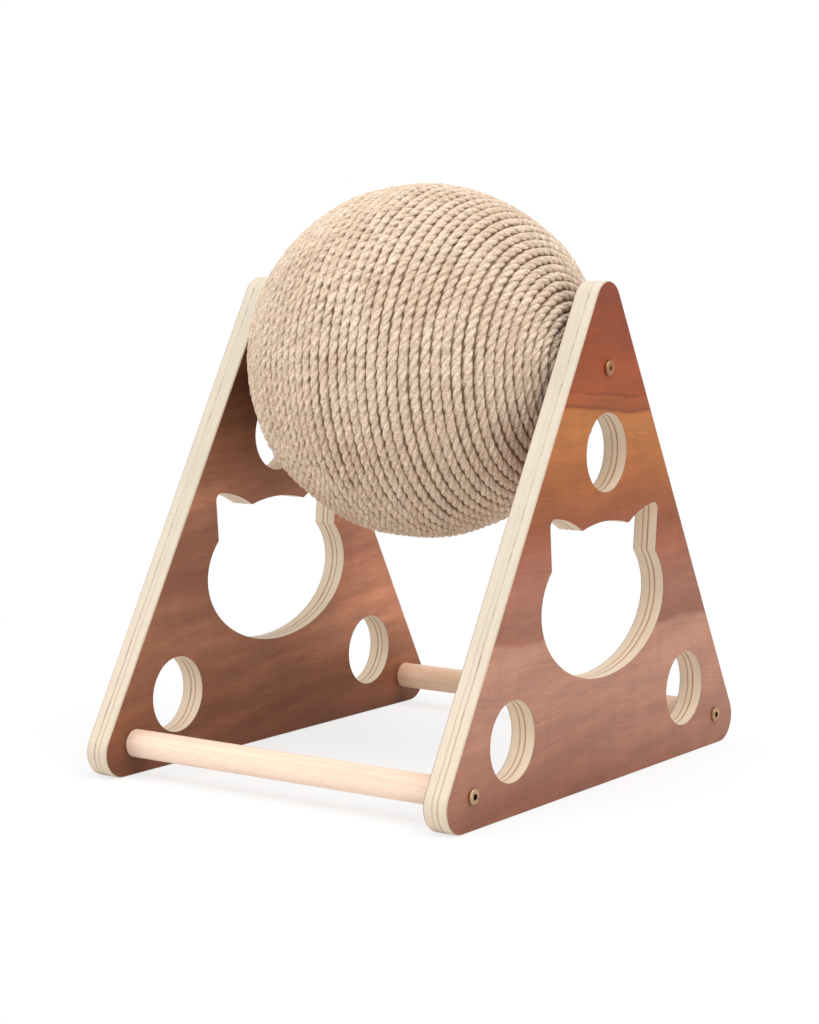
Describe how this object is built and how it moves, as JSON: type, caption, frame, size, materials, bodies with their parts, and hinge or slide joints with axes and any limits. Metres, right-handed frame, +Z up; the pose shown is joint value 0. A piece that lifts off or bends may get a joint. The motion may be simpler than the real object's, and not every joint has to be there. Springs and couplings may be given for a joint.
{
  "type": "cat scratching ball",
  "caption": "Free-standing cat scratcher: a rope-wound ball spins on a wooden axle between triangular veneered plywood panels with cat-head cut-outs, joined by dowel rails.",
  "frame": {"origin": "in the middle of the footprint, on the surface that the object stands on", "axes": "+Z up; +X along the ball's axle towards the right panel; -Y is the front"},
  "size_m": [0.2018, 0.2566, 0.2733],
  "materials": {
    "birch_plywood": "sanded edge, clear coat",
    "walnut_veneer": "satin lacquer",
    "beech": "sanded, bare",
    "sisal_rope": "twisted natural fibre",
    "core_plastic": "moulded",
    "bush_plastic": "moulded",
    "screw_steel": "satin plated"
  },
  "bodies": {
    "stand": {"right_panel_plywood": "birch_plywood", "right_panel_inner_veneer": "walnut_veneer", "right_panel_outer_veneer": "walnut_veneer", "left_panel_plywood": "birch_plywood", "left_panel_inner_veneer": "walnut_veneer", "left_panel_outer_veneer": "walnut_veneer", "front_rail": "beech", "rear_rail": "beech", "axle": "beech", "axle_screw_right": "screw_steel", "axle_screw_left": "screw_steel", "front_rail_screw_right": "screw_steel", "front_rail_screw_left": "screw_steel", "rear_rail_screw_right": "screw_steel", "rear_rail_screw_left": "screw_steel", "spacer_washer_right": "bush_plastic", "spacer_washer_left": "bush_plastic"},
    "ball": {"rope_winding": "sisal_rope", "core_half_right": "core_plastic", "core_half_left": "core_plastic", "core_sleeve": "core_plastic", "bush_right": "bush_plastic", "bush_left": "bush_plastic"}
  },
  "joints": [
    {"name": "ball_spin", "type": "hinge", "parent": "stand", "child": "ball", "pos_m": [0, 0, 0.19], "axis": [1, 0, 0], "continuous": true}
  ]
}
